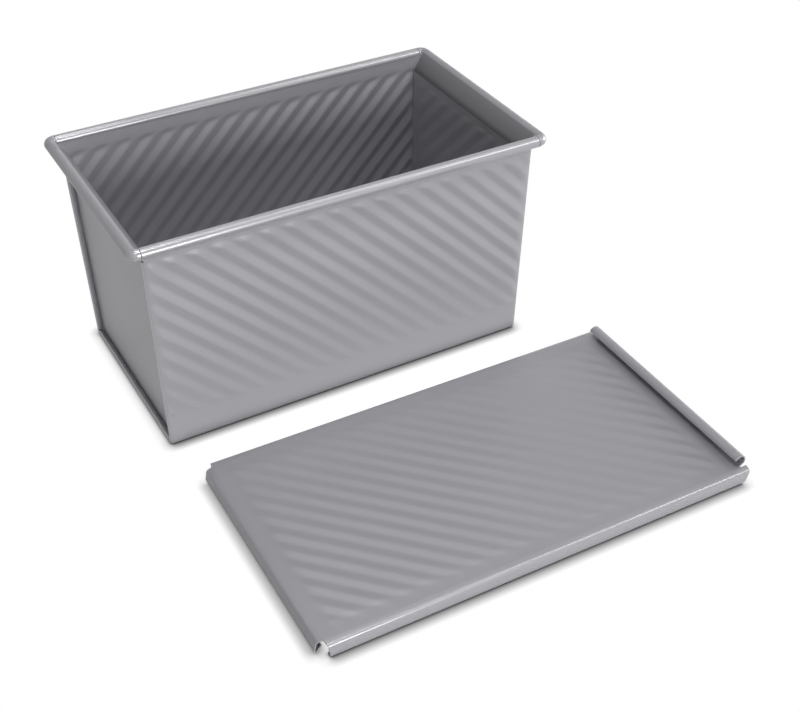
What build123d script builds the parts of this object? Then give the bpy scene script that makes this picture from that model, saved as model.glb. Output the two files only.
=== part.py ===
from build123d import *
import math
import os

# Pullman loaf pan of folded sheet metal with a slide-on lid, in millimetres.
# The origin is the middle of the pan's foot, X runs along the pan and Z is up.
# The lid lies on the table in front of the pan, right way up.

# Sheet and wire
sheet = 0.7
wire_diameter = 4.0
wire_clearance = 0.05

# Rim, measured along the centre line of its wire
rim_span_x = 206.0
rim_span_y = 114.0
rim_height = 111.1
rim_corner_radius = 3.0
rim_corner_runs = 4
rim_joint_gap = 0.3
bead_wrap_angle = 300.0

# Long walls and floor, one folded sheet
wall_draft_angle = 1.27
floor_bend_radius = 1.8

# Hem along the sheet's ends, which grips the end panels
end_overhang = 6.6
hem_depth = 2.0
hem_height = 105.0
hem_mitre_gap = 0.2
seam_clearance = 0.05

# End panels
panel_recess = 2.7
panel_bend_radius = 0.5
flare_angle = 35.0
flare_radius = 8.0

# Pressed ribs, all at 45 degrees
rib_pitch = 8.15
rib_rise = 0.9
rib_flat = 0.9
rib_end_length = 1.8
wall_rib_foot = 17.0
wall_rib_top_margin = 6.2
front_rib_offset = 4.9
back_rib_offset = 1.6
floor_rib_margin = 5.0
floor_rib_offset = 5.76
end_rib_rise = 0.4
end_rib_print = 0.12
end_rib_side_margin = 5.0
end_rib_top_margin = 10.5
end_rib_offset = 4.0

# Lid, measured from the centre line of its left curl
lid_length = 210.5
lid_side_play = 0.8
lid_hook_clearance = 0.4
lid_curl_angle = 205.0
lid_notch = 1.8
lid_end_round = 2.0
lip_radius = 3.2
lip_wrap_angle = 245.0
lip_end_margin = 1.0
lid_rib_margin = 4.5
lid_rib_lip_margin = 8.0
lid_rib_rise = 0.6
lid_rib_offset = 1.6

# Place of the lid on the table
lid_place_x = -89.2
lid_place_y = -141.1
lid_turn_angle = -0.76

# How far a cutting shape runs past the surface that it cuts
overrun = 5.0

# Worked out from the sizes above
draft = math.radians(wall_draft_angle)
slope = math.tan(draft)
wall_width = sheet / math.cos(draft)
rim_x = rim_span_x / 2
rim_y = rim_span_y / 2
bead_radius = wire_diameter / 2 + wire_clearance + sheet
bead_foot = rim_height - bead_radius
wall_foot_inner = rim_y - bead_radius / math.cos(draft) - rim_height * slope
wall_foot_outer = wall_foot_inner + wall_width
hem_foot = rim_x - end_overhang
hem_stack = 3 * sheet + 2 * seam_clearance
fold_radius = hem_stack / 2
flange_tip = hem_foot - fold_radius / math.cos(draft) - 2 * seam_clearance
panel_foot_outer = hem_foot - panel_recess
panel_foot_inner = panel_foot_outer - wall_width
curl_radius = bead_radius + lid_hook_clearance + sheet
lid_side = rim_y + lid_side_play
lid_top = 2 * curl_radius
lid_end = lid_length + lip_radius


def outline(points):
    """Straight-sided face through the points, in the XY plane."""
    return make_face(Polyline(*points, close=True))


def band(centre, radius, start_angle, turn_angle):
    """Cross-section of curled sheet: an arc as thick as the sheet, in the XY plane."""
    outer = CenterArc(centre, radius, start_angle, turn_angle)
    inner = CenterArc(centre, radius - sheet, start_angle + turn_angle, -turn_angle)
    return make_face([outer, Line(outer @ 1, inner @ 0), inner, Line(inner @ 1, outer @ 0)])


def facing(shape, direction):
    """The shape's face that looks most nearly in a direction."""
    return max(shape.faces(), key=lambda face: face.normal_at().dot(direction))


def upright(plane, direction):
    """Plane that stands on another, with x along a direction in it and y along its normal."""
    return Plane(origin=plane.origin, x_dir=direction, z_dir=direction.cross(plane.z_dir))


def corner_turn(section):
    """Quarter turn of a section about the rim's upright corner axis, in short straight runs."""
    centre = Pos(rim_x - rim_corner_radius, rim_y - rim_corner_radius, 0)
    runs = range(rim_corner_runs + 1)
    sections = [centre * Rot(0, 0, 90 * run / rim_corner_runs) * centre.inverse() * section for run in runs]
    return loft(sections, ruled=True)


def rib_pad(plane, width, height, lean, offset, rise, depth):
    """
    Pressed ribs over a rectangle that is centred on the plane, as one solid.

    A rib's crest lies where x + lean * y equals the offset, and so do its neighbours a pitch
    away. The ribs stand proud of the plane by the rise and run out at the rectangle's edges.
    The solid goes on below the plane by the depth.
    """
    across = rib_pitch * math.sqrt(2)
    flank = (rib_pitch - 2 * rib_flat) / 2
    valley = rise * rib_flat / (2 * flank)
    reach = (width + height) / 2
    first = math.floor((-reach - offset) / across)
    last = math.ceil((reach - offset) / across)
    wave = []
    for number in range(first, last + 1):
        crest = (offset + number * across) / math.sqrt(2)
        wave.append((crest - rib_pitch / 2, -valley))
        wave.append((crest - rib_flat / 2, rise))
        wave.append((crest + rib_flat / 2, rise))
    wave.append((crest + rib_pitch / 2, -valley))
    wave.append((wave[-1][0], -depth))
    wave.append((wave[0][0], -depth))
    side = (plane.x_dir + plane.y_dir * lean).normalized()
    slab = extrude(upright(plane, side) * outline(wave), amount=reach, both=True)
    for direction, size in ((plane.x_dir, width), (plane.y_dir, height)):
        low = size / 2 + rib_end_length * depth / rise
        high = size / 2 - 2 * rib_end_length
        ends = outline([(-low, -depth), (low, -depth), (high, 2 * rise), (-high, 2 * rise)])
        slab &= extrude(upright(plane, direction) * ends, amount=reach, both=True)
    return slab


def ribbed(part, plane, width, height, lean, offset, rise):
    """The part with ribs that stand proud of the plane and are hollow behind it."""
    proud = rib_pad(plane, width, height, lean, offset, rise, sheet / 2)
    hollow = rib_pad(plane.offset(-sheet), width, height, lean, offset, rise, sheet)
    return part + proud - hollow


def wall_plane(side, height):
    """Plane on the outside of a long wall at a height along it, with x to the viewer's right."""
    origin = (0, side * (wall_foot_outer + height * math.sin(draft)), height * math.cos(draft))
    return Plane(
        origin=origin,
        x_dir=(-side, 0, 0),
        z_dir=(0, side * math.cos(draft), -math.sin(draft)),
    )


def sheet_outline():
    """Outside of the pan across its length, in the YZ plane, with the floor's bends rounded."""
    top = rim_height
    half = wall_foot_outer + top * slope
    face = outline([(-wall_foot_outer, 0), (wall_foot_outer, 0), (half, top), (-half, top)])
    corners = face.vertices().sort_by(Axis.Y)[:2]
    return Plane.YZ * fillet(corners, floor_bend_radius + sheet)


def interior(clearance):
    """Room between the long walls and above the floor, less the clearance, in the YZ plane."""
    foot = sheet + clearance
    top = rim_height + bead_radius
    side = wall_foot_inner - clearance / math.cos(draft)
    low = side + foot * slope
    high = side + top * slope
    face = outline([(-low, foot), (low, foot), (high, top), (-high, top)])
    corners = face.vertices().sort_by(Axis.Y)[:2]
    return Plane.YZ * fillet(corners, floor_bend_radius - clearance)


def long_bead(side):
    """Cross-section of a long wall's rolled bead, from the wall round the wire."""
    start = 90 + side * (90 - wall_draft_angle)
    return Plane.YZ * band((side * rim_y, rim_height), bead_radius, start, -side * bead_wrap_angle)


def wall_section():
    """Cross-section of the folded sheet up to the rim, open at the top."""
    touch_y = rim_y - bead_radius * math.cos(draft)
    touch_z = rim_height + bead_radius * math.sin(draft)
    floor_y = wall_foot_inner + sheet * slope
    outside = [(touch_y + sheet * math.cos(draft), touch_z - sheet * math.sin(draft)), (wall_foot_outer, 0)]
    inside = [(floor_y, sheet), (touch_y, touch_z)]
    right = inside + outside
    face = outline(right + [(-y, z) for y, z in reversed(right)])
    face = fillet(face.vertices().group_by(Axis.Y)[0], floor_bend_radius + sheet)
    inner = [v for v in face.vertices() if abs(v.Y - sheet) < seam_clearance]
    return Plane.YZ * fillet(inner, floor_bend_radius)


def hem_section():
    """Cross-section of the hem: a lead from the sheet, the fold and the return, in the XY plane."""
    fold = band((-fold_radius, fold_radius), fold_radius, -90, 180)
    length = hem_depth - fold_radius
    lead = Pos(-fold_radius - sheet / 2, sheet / 2) * Rectangle(sheet, sheet)
    back = Pos(-fold_radius - length / 2, hem_stack - sheet / 2) * Rectangle(length, sheet)
    return Sketch() + fold + lead + back


def hem_leg(corner, along, inward, length):
    """Straight run of the hem through a corner of the sheet, on both sides of it."""
    across = along.cross(inward).normalized()
    if across.X < 0:
        across = -across
    section = Plane(origin=corner, x_dir=across, z_dir=across.cross(inward))
    return extrude(section * hem_section(), amount=length, both=True)


def hem():
    """Hem round the right end of the folded sheet, mitred at the floor's bends."""
    gap = hem_mitre_gap / math.sqrt(2)
    near = wall_foot_outer - gap
    corner = (hem_foot, 0, 0)
    leg = hem_leg(corner, Vector(0, 1, 0), Vector(0, 0, 1), wall_foot_outer + overrun)
    right = [(near + overrun, -overrun), (near - overrun, overrun)]
    region = outline(right + [(-y, z) for y, z in reversed(right)])
    result = leg & extrude(Plane.YZ * region, amount=rim_x)
    far = wall_foot_outer + gap
    for side in (1, -1):
        along = Vector(slope, side * slope, 1)
        inward = Vector(0, -side * math.cos(draft), math.sin(draft))
        leg = hem_leg((hem_foot, side * wall_foot_outer, 0), along, inward, hem_height + overrun)
        points = [(far + overrun, -overrun), (far + overrun, hem_height),
                  (far - overrun, hem_height), (far - overrun, overrun)]
        region = outline([(side * y, z) for y, z in points])
        result += leg & extrude(Plane.YZ * region, amount=rim_x)
    flange_room = interior(0) - interior(sheet + 2 * seam_clearance)
    tip = flange_tip + seam_clearance
    reach = outline([(0, 0), (tip, 0), (tip + hem_height * slope, hem_height), (0, hem_height)])
    slot = extrude(flange_room, amount=rim_x) & extrude(Plane.XZ * reach, amount=rim_y, both=True)
    return (result & extrude(sheet_outline(), amount=rim_x)) - slot


def pan_body():
    """Floor and long walls with their beads and hems, pressed with ribs."""
    reach = rim_x - rim_corner_radius - rim_joint_gap
    body = extrude(wall_section(), amount=reach, both=True)
    cut = hem_foot - fold_radius / math.cos(draft)
    wedge = outline([(cut - overrun * slope, -overrun), (cut + bead_foot * slope, bead_foot),
                     (rim_x + overrun, bead_foot), (rim_x + overrun, -overrun)])
    end_cut = extrude(Plane.XZ * wedge, amount=rim_y + overrun, both=True)
    body = body - end_cut - mirror(end_cut, Plane.YZ)
    foot = wall_rib_foot
    top = (rim_height - wall_rib_top_margin) / math.cos(draft)
    middle = (foot + top) / 2
    length = 2 * (hem_foot - hem_depth)
    body = ribbed(body, wall_plane(-1, middle), length, top - foot, 1, front_rib_offset - middle, rib_rise)
    body = ribbed(body, wall_plane(1, middle), length, top - foot, 1, -back_rib_offset - middle, rib_rise)
    floor_plane = Plane(origin=(0, 0, sheet), x_dir=(1, 0, 0), z_dir=(0, 0, 1))
    floor_length = 2 * (panel_foot_inner - floor_rib_margin)
    floor_width = 2 * (wall_foot_inner - floor_rib_margin)
    body = ribbed(body, floor_plane, floor_length, floor_width, -1, floor_rib_offset, rib_rise)
    for side in (1, -1):
        body += extrude(long_bead(side), amount=reach, both=True)
    right_hem = hem()
    return body + right_hem + mirror(right_hem, Plane.YZ)


def flare():
    """
    Cross-section of the right end panel above its flange, in the XZ plane, and its foot's height.

    The panel turns outward through the flare angle and then runs straight to its bead.
    """
    lean = math.radians(flare_angle)
    touch = Vector(rim_x - bead_radius * math.cos(lean), rim_height + bead_radius * math.sin(lean))
    turn_x = flare_radius * (math.cos(draft) - math.cos(lean))
    turn_z = flare_radius * (math.sin(lean) - math.sin(draft))
    run = (touch.X - turn_x - panel_foot_inner) / math.tan(lean)
    foot = (touch.Y - turn_z - run) / (1 - slope / math.tan(lean))
    low = foot - sheet
    inside = Line((panel_foot_inner + low * slope, low), (panel_foot_inner + foot * slope, foot))
    bend = JernArc(inside @ 1, inside % 1, flare_radius, math.degrees(draft) - flare_angle)
    ramp = Line(bend @ 1, touch)
    shift = Vector(math.cos(draft), -math.sin(draft)) * sheet
    tilt = Vector(math.cos(lean), -math.sin(lean)) * sheet
    outside = Line(inside @ 0 + shift, inside @ 1 + shift)
    outer_bend = JernArc(outside @ 1, outside % 1, flare_radius - sheet, math.degrees(draft) - flare_angle)
    outer_ramp = Line(outer_bend @ 1, touch + tilt)
    edges = [inside, bend, ramp, outside, outer_bend, outer_ramp]
    edges += [Line(inside @ 0, outside @ 0), Line(touch, touch + tilt)]
    return Plane.XZ * make_face(edges), foot


def panel_tray(top):
    """Plate of the right end panel with the flange that the hem grips, up to the given height."""
    low = sheet + seam_clearance
    side = outline([(panel_foot_inner + low * slope, low), (flange_tip + low * slope, low),
                    (flange_tip + top * slope, top), (panel_foot_inner + top * slope, top)])
    block = extrude(Plane.XZ * side, amount=rim_y, both=True) & extrude(interior(seam_clearance), amount=rim_x)
    bend = facing(block, Vector(-1, 0, 0)).edges().sort_by(Axis.Z)[:-1]
    block = fillet(bend, panel_bend_radius + sheet)
    openings = [facing(block, Vector(1, 0, 0)), facing(block, Vector(0, 0, 1))]
    return offset(block, amount=-sheet, openings=openings, kind=Kind.INTERSECTION)


def right_end_panel():
    """End panel with its flange, flare, bead and the bead's rounded corners, pressed with ribs."""
    section, foot = flare()
    room = extrude(interior(seam_clearance), amount=rim_x + bead_radius)
    panel = panel_tray(foot) + (extrude(section, amount=rim_y, both=True) & room)
    straight = rim_y - rim_corner_radius
    bead = band((rim_x, rim_height), bead_radius, 180 - flare_angle, -bead_wrap_angle)
    panel += extrude(Plane.XZ * bead, amount=straight, both=True)
    turn = band((rim_x, rim_height), bead_radius, 180, -bead_wrap_angle)
    corner = corner_turn(Pos(0, straight, 0) * (Plane.XZ * turn))
    panel = panel + corner + mirror(corner, Plane.XZ)
    base = wall_rib_foot
    top = rim_height - end_rib_top_margin
    middle = (base + top) / 2
    width = 2 * (wall_foot_inner - end_rib_side_margin)
    origin = (panel_foot_inner + middle * slope, 0, middle)
    face = Plane(origin=origin, x_dir=(0, -1, 0), z_dir=(-math.cos(draft), 0, math.sin(draft)))
    shift = middle - end_rib_offset
    panel += rib_pad(face, width, top - base, -1, shift, end_rib_rise, sheet / 2)
    return panel - rib_pad(face.offset(-sheet), width, top - base, -1, shift, end_rib_print, end_rib_print)


def rim_wire():
    """Closed loop of wire that the beads are rolled round."""
    straight_x = rim_x - rim_corner_radius
    straight_y = rim_y - rim_corner_radius
    ring = Circle(wire_diameter / 2)
    front = Plane(origin=(0, -rim_y, rim_height), z_dir=(1, 0, 0)) * ring
    side = Plane(origin=(rim_x, 0, rim_height), z_dir=(0, 1, 0)) * ring
    start = Plane(origin=(rim_x, straight_y, rim_height), z_dir=(0, 1, 0)) * ring
    corner = corner_turn(start)
    long_side = extrude(front, amount=straight_x, both=True)
    short_side = extrude(side, amount=straight_y, both=True)
    wire = long_side + mirror(long_side, Plane.XZ) + short_side + mirror(short_side, Plane.YZ)
    right = corner + mirror(corner, Plane.XZ)
    return wire + right + mirror(right, Plane.YZ)


def slide_lid():
    """Lid with curls on three sides that hook under the rim and a lip to pull at the fourth."""
    plate = Box(lid_length, 2 * lid_side, sheet, align=(Align.MIN, Align.CENTER, Align.MAX))
    plate = Pos(0, 0, lid_top) * plate
    plate = chamfer(plate.edges().filter_by(Axis.Z).sort_by(Axis.X)[:2], lid_notch)
    start = 90
    curls = []
    for side in (1, -1):
        section = band((side * lid_side, curl_radius), curl_radius, start, -side * lid_curl_angle)
        curls.append(extrude(Pos(lid_notch, 0, 0) * (Plane.YZ * section), amount=lid_end - lid_notch))
    stretch = outline([(0, 0), (lid_end, 0), (lid_end, lid_top), (0, lid_top)])
    lower = stretch.vertices().group_by(Axis.Y)[0].sort_by(Axis.X)[-1]
    stretch = extrude(Plane.XZ * fillet(lower, lid_end_round), amount=lid_side + lid_top, both=True)
    curls = [curl & stretch for curl in curls]
    section = band((0, curl_radius), curl_radius, start, lid_curl_angle)
    curls.append(extrude(Plane.XZ * section, amount=lid_side - lid_notch, both=True))
    centre = (lid_length, lid_top - sheet + lip_radius)
    section = band(centre, lip_radius, -start, lip_wrap_angle)
    curls.append(extrude(Plane.XZ * section, amount=lid_side - lip_end_margin, both=True))
    lid = plate
    for curl in curls:
        lid += curl
    length = lid_length - lid_rib_margin - lid_rib_lip_margin
    middle = lid_rib_margin + length / 2
    face = Plane(origin=(middle, 0, lid_top), x_dir=(1, 0, 0), z_dir=(0, 0, 1))
    lid = ribbed(lid, face, length, 2 * (lid_side - lid_rib_margin), 1, lid_rib_offset - middle, lid_rib_rise)
    return Location((lid_place_x, lid_place_y, 0), (0, 0, lid_turn_angle)) * lid


def main():
    os.makedirs("parts", exist_ok=True)
    right_panel = right_end_panel()
    nodes = {
        "pan_body": pan_body(),
        "left_end_panel": Rot(0, 0, 180) * right_panel,
        "right_end_panel": right_panel,
        "rim_wire": rim_wire(),
        "slide_lid": slide_lid(),
    }
    for name, shape in nodes.items():
        export_step(shape, os.path.join("parts", name + ".step"))


main()
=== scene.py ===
"""Pullman loaf pan with its slide-on lid: visible sheet metal, finishes, studio light and camera."""

import logging
import math
from dataclasses import dataclass, field
from enum import Enum

import bpy
import numpy as np
from mathutils import Matrix, Vector

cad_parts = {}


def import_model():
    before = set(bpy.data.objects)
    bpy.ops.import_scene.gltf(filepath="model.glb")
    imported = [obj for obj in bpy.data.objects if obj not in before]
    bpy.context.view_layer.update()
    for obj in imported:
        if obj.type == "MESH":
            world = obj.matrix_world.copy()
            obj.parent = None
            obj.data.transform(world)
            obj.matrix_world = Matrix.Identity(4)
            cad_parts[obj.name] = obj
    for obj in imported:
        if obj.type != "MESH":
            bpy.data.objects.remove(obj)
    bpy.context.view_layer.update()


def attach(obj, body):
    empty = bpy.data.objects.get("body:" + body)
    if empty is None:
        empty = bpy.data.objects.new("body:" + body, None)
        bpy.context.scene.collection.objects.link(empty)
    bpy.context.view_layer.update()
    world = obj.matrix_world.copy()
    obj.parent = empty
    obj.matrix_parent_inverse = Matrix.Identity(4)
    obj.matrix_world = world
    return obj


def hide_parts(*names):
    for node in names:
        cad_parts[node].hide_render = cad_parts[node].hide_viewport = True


LOG = logging.getLogger("loaf_pan")
# A millimetre in metres.
MM = 0.001
# Lengths and angles below this count as none.
TINY = 1e-6
# How far a step of one at 45 degrees goes along each of its two axes.
SLANT = math.sqrt(0.5)
# Edges bent more sharply than this, in degrees, are shaded as edges.
CREASE_ANGLE = 32.0


class Diagonal(Enum):
    """How a cell of a grid is split into triangles, if at all."""

    NONE = 0
    FALLING = 1
    RISING = 2


@dataclass(frozen=True)
class PanSizes:
    """Driving sizes of the pan and its lid, in millimetres, and what follows from them."""

    gauge: float = 0.7
    edge_round: float = 0.12
    wire: float = 4.0
    wire_clearance: float = 0.05
    rim_x: float = 103.0
    rim_y: float = 57.0
    rim_height: float = 111.1
    rim_corner: float = 3.0
    rim_joint_gap: float = 0.3
    bead_wrap: float = 300.0
    draft_degrees: float = 1.27
    floor_bend: float = 1.8
    end_overhang: float = 6.6
    hem_depth: float = 2.0
    hem_height: float = 105.0
    seam_clearance: float = 0.05
    panel_recess: float = 2.7
    panel_bend: float = 0.5
    flare_degrees: float = 35.0
    flare_bend: float = 8.0
    rib_pitch: float = 8.15
    rib_rise: float = 1.0
    back_rib_rise: float = 1.05
    lid_rib_rise: float = 0.5
    rib_end: float = 2.6
    lid_rib_end: float = 4.0
    wall_rib_foot: float = 17.0
    wall_rib_top_margin: float = 6.2
    floor_rib_margin: float = 5.0
    end_rib_rise: float = 0.4
    end_rib_print: float = 0.04
    end_rib_side_margin: float = 5.0
    end_rib_top_margin: float = 10.5
    lid_length: float = 210.5
    lid_play: float = 0.8
    lid_hook_clearance: float = 0.4
    lid_notch: float = 0.35
    lip_radius: float = 3.2
    lip_wrap: float = 245.0
    lip_margin: float = 1.0
    lid_rib_margin: float = 4.5
    lid_rib_lip_margin: float = 8.0
    lid_place: tuple = (-89.2, -141.1)
    lid_turn: float = -0.76
    cells_per_rib: int = 10
    grid_spare: float = 1.0

    @property
    def slope(self) -> float:
        """How far a wall leans out for each unit of height."""
        return math.tan(math.radians(self.draft_degrees))

    @property
    def draft_cos(self) -> float:
        """Height gained for each unit along a wall."""
        return math.cos(math.radians(self.draft_degrees))

    @property
    def draft_sin(self) -> float:
        """Distance that a wall leans out for each unit along it."""
        return math.sin(math.radians(self.draft_degrees))

    @property
    def half(self) -> float:
        """Half the sheet's gauge."""
        return self.gauge / 2

    @property
    def bead(self) -> float:
        """Outer radius of the rim's bead."""
        return self.wire / 2 + self.wire_clearance + self.gauge

    @property
    def bead_foot(self) -> float:
        """Height of the bead's lowest line."""
        return self.rim_height - self.bead

    @property
    def wall_inner(self) -> float:
        """Distance from the middle to a long wall's inside, at the foot."""
        return self.rim_y - self.bead / self.draft_cos - self.rim_height * self.slope

    @property
    def wall_middle(self) -> float:
        """Distance from the middle to the middle of a long wall's sheet, at the foot."""
        return self.wall_inner + self.half / self.draft_cos

    @property
    def fold(self) -> float:
        """Outer radius of the hem's fold."""
        return (3 * self.gauge + 2 * self.seam_clearance) / 2

    @property
    def hem_foot(self) -> float:
        """Distance from the middle to the hem's outermost line, at the foot."""
        return self.rim_x - self.end_overhang

    @property
    def fold_start(self) -> float:
        """Distance from the middle to where the hem's fold begins, at the foot."""
        return self.hem_foot - self.fold / self.draft_cos

    @property
    def panel_inner(self) -> float:
        """Distance from the middle to an end panel's inside, at the foot."""
        return self.hem_foot - self.panel_recess - self.gauge / self.draft_cos

    @property
    def panel_middle(self) -> float:
        """Distance from the middle to the middle of an end panel's sheet, at the foot."""
        return self.panel_inner + self.half / self.draft_cos

    @property
    def end_rib_top(self) -> float:
        """Height at which the end panels' ribs end."""
        return self.rim_height - self.end_rib_top_margin

    @property
    def curl(self) -> float:
        """Outer radius that the curls on the lid's edges need to pass round the bead."""
        return self.bead + self.lid_hook_clearance + self.gauge

    @property
    def lid_level(self) -> float:
        """Height of the middle of the lid's sheet."""
        return 2 * self.curl - self.half

    @property
    def lid_side(self) -> float:
        """Distance from the lid's middle to the centre line of a side curl."""
        return self.rim_y + self.lid_play

    @property
    def lid_end(self) -> float:
        """Distance from the left curl's centre line to the lid's far end."""
        return self.lid_length + self.lip_radius

    @property
    def cell(self) -> float:
        """Size of a grid cell, so that the ribs run along the cells' diagonals."""
        return self.rib_pitch * math.sqrt(2) / self.cells_per_rib

    def lattice(self, low: float, high: float, phase: float = 0.0) -> np.ndarray:
        """Places a cell apart.

        Args:
            low: The lower limit.
            high: The upper limit.
            phase: One of the places, which may lie outside the limits.

        Returns:
            The places between the limits.
        """
        first = math.ceil((low - phase) / self.cell)
        last = math.floor((high - phase) / self.cell)
        return phase + self.cell * np.arange(first, last + 1)


def stacked(*parts: float | np.ndarray) -> np.ndarray:
    """Rows of numbers, one number from each of the parts, which are spread to one shape."""
    return np.stack(np.broadcast_arrays(*parts), axis=-1).astype(float)


def arc(centre: tuple, radius: float, start: float, end: float, count: int) -> np.ndarray:
    """Points on a circle's arc between two angles in degrees, a number of equal spans apart."""
    turn = np.radians(np.linspace(start, end, count + 1))
    return stacked(centre[0] + radius * np.cos(turn), centre[1] + radius * np.sin(turn))


def soft_step(share: np.ndarray) -> np.ndarray:
    """Share from nought to one, eased at both ends."""
    held = np.clip(share, 0.0, 1.0)
    return held * held * (3.0 - 2.0 * held)


def linked(name: str, data: bpy.types.ID) -> bpy.types.Object:
    """Makes an object and puts it in the scene.

    Args:
        name: The object's name.
        data: Its mesh, lamp or camera.

    Returns:
        The object.
    """
    made = bpy.data.objects.new(name, data)
    bpy.context.scene.collection.objects.link(made)
    return made


@dataclass
class SheetShell:
    """A sheet's middle surface, gathered in patches and then given its gauge and rounded edges."""

    gauge: float
    edge_round: float
    points: list = field(default_factory=list)
    polygons: list = field(default_factory=list)
    rises: dict = field(default_factory=dict)
    polish_and_painted_light_marks: dict = field(default_factory=dict)

    def add(self, points: np.ndarray, **rises: np.ndarray) -> np.ndarray:
        """Adds points to the sheet.

        Args:
            points: Places in millimetres, with the last axis of three.
            rises: For each rib field, how far its ribs lift the two skins at each point.

        Returns:
            The points' numbers, in the shape of the array without its last axis.
        """
        flat = points.reshape(-1, 3)
        first = len(self.points)
        self.points.extend(flat)
        for name, rise in rises.items():
            both = np.broadcast_to(rise, points.shape[:-1] + (2,)).reshape(-1, 2)
            self.rises.setdefault(name, {}).update(zip(range(first, first + len(flat)), both))
        return np.arange(first, first + len(flat)).reshape(points.shape[:-1])

    def polish_and_painted_light(self, ids: np.ndarray) -> None:
        """Marks points whose coating is stretched and rubbed bright, lighter in colour partly as a painted
        highlight.
        """
        self.mark(ids, 1.0, 1.0)

    def mark(self, ids: np.ndarray, upper: float | np.ndarray, under: float | np.ndarray) -> None:
        """Sets the coating's tone at some points, from -1 for painted shade to 1 for polish with a painted
        highlight.

        Args:
            ids: The points.
            upper: The value on the upper skin, for all the points or for each.
            under: The value on the under skin.
        """
        marks = [np.broadcast_to(mark, ids.shape).flat for mark in (upper, under)]
        for point, *pair in zip(ids.flat, *marks):
            self.polish_and_painted_light_marks[int(point)] = pair

    def face(self, *corners: int, flip: bool = False) -> None:
        """Adds one polygon, leaving out corners that repeat.

        Args:
            corners: The polygon's points, in order.
            flip: Whether the order is turned round.
        """
        corners = corners[::-1] if flip else corners
        kept = [c for n, c in enumerate(corners) if c != corners[n - 1]]
        if len(kept) > 2:
            self.polygons.append(tuple(int(c) for c in kept))

    def grid(self, ids: np.ndarray, diagonal: Diagonal = Diagonal.NONE, keep: np.ndarray = None,
             flip: bool = False) -> None:
        """Joins a grid of points with cells.

        Args:
            ids: The points' numbers, by row and column.
            diagonal: How each cell is split.
            keep: Which cells are there, by row and column, or None for all.
            flip: Whether the columns are taken from the last to the first.
        """
        keep = np.ones((ids.shape[0] - 1, ids.shape[1] - 1), bool) if keep is None else keep
        if flip:
            ids, keep = ids[:, ::-1], keep[:, ::-1]
        for row, column in np.argwhere(keep):
            a, b = ids[row, column], ids[row, column + 1]
            c, d = ids[row + 1, column + 1], ids[row + 1, column]
            if diagonal is Diagonal.FALLING:
                self.face(a, b, c)
                self.face(a, c, d)
            elif diagonal is Diagonal.RISING:
                self.face(a, b, d)
                self.face(b, c, d)
            else:
                self.face(a, b, c, d)

    def fan(self, dense: np.ndarray, picked: np.ndarray, sparse: np.ndarray, flip: bool = False) -> None:
        """Joins a row of many points with a row that has a point for only some of them.

        Args:
            dense: Point numbers of the row of many.
            picked: Where in that row the points lie that the other row has a point for.
            sparse: Point numbers of the other row.
            flip: Whether the polygons' order is turned round.
        """
        for number in range(len(picked) - 1):
            run = dense[picked[number]:picked[number + 1] + 1]
            self.face(*run, sparse[number + 1], sparse[number], flip=flip)

    def drop_loose_points(self) -> None:
        """Removes the points that no polygon uses and numbers the rest anew."""
        used = sorted({corner for polygon in self.polygons for corner in polygon})
        place = {old: new for new, old in enumerate(used)}
        self.points = [self.points[old] for old in used]
        self.polygons = [tuple(place[corner] for corner in polygon) for polygon in self.polygons]
        self.rises = {name: {place[old]: rise for old, rise in rises.items() if old in place}
                      for name, rises in self.rises.items()}
        self.polish_and_painted_light_marks = {place[old]: pair for old, pair in self.polish_and_painted_light_marks.items() if old in place}

    def normals(self, places: np.ndarray) -> np.ndarray:
        """Unit normals of the middle surface.

        Args:
            places: The points' places.

        Returns:
            The normal at each point.
        """
        total = np.zeros_like(places)
        for polygon in self.polygons:
            spans = places[list(polygon[1:])] - places[polygon[0]]
            normal = np.cross(spans[:-1], spans[1:]).sum(axis=0)
            for corner in polygon:
                total[corner] += normal
        length = np.linalg.norm(total, axis=1, keepdims=True)
        return total / np.where(length > 0, length, 1.0)

    def open_edges(self) -> list:
        """Edges that one polygon alone uses, each as two points in that polygon's order."""
        uses = {edge: True for polygon in self.polygons for edge in zip(polygon, polygon[1:] + polygon[:1])}
        return [edge for edge in uses if (edge[1], edge[0]) not in uses]

    def build(self, name: str) -> bpy.types.Object:
        """Makes the closed sheet as an object.

        Args:
            name: The object's name.

        Returns:
            The object, at the origin, with attributes for each rib field's rise and for the polish with its
            painted highlight and shade.
        """
        self.drop_loose_points()
        places = np.array(self.points, float)
        normals = self.normals(places)
        half, cut = self.gauge / 2, self.edge_round
        count = len(places)
        edges = self.open_edges()
        outward = {}
        for start, end in edges:
            along = places[end] - places[start]
            for point in (start, end):
                out = np.cross(along, normals[point])
                outward[point] = outward.get(point, 0) + out / max(np.linalg.norm(out), TINY)
        order = {point: 2 * count + number for number, point in enumerate(outward)}
        middle = np.array(list(outward), int)
        away = np.array([out / max(np.linalg.norm(out), cut) for out in outward.values()])
        upper = places[middle] + normals[middle] * (half - cut) + away * cut
        lower = places[middle] - normals[middle] * (half - cut) + away * cut
        vertices = np.vstack([places + normals * half, places - normals * half, upper, lower])
        faces = list(self.polygons)
        faces += [tuple(count + c for c in reversed(p)) for p in self.polygons]
        for start, end in edges:
            rings = [(start, end)]
            rings += [(base + order[start], base + order[end]) for base in (0, len(middle))]
            rings.append((count + start, count + end))
            faces += [(b, a, c, d) for (a, b), (c, d) in zip(rings, rings[1:])]
        mesh = bpy.data.meshes.new(name)
        mesh.from_pydata((vertices * MM).tolist(), [], faces)
        # This attribute holds polish with a painted highlight above nought and painted shade below nought.
        for label, pairs in {**self.rises, "polish_and_painted_light": self.polish_and_painted_light_marks}.items():
            values = np.zeros(len(vertices))
            for point, (top, under) in pairs.items():
                values[point] = top
                values[count + point] = under
            unit = MM if label in self.rises else 1.0
            attribute = mesh.attributes.new(label, "FLOAT", "POINT")
            attribute.data.foreach_set("value", (values * unit).astype(np.float32))
        mesh.update()
        return linked(name, mesh)


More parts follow.
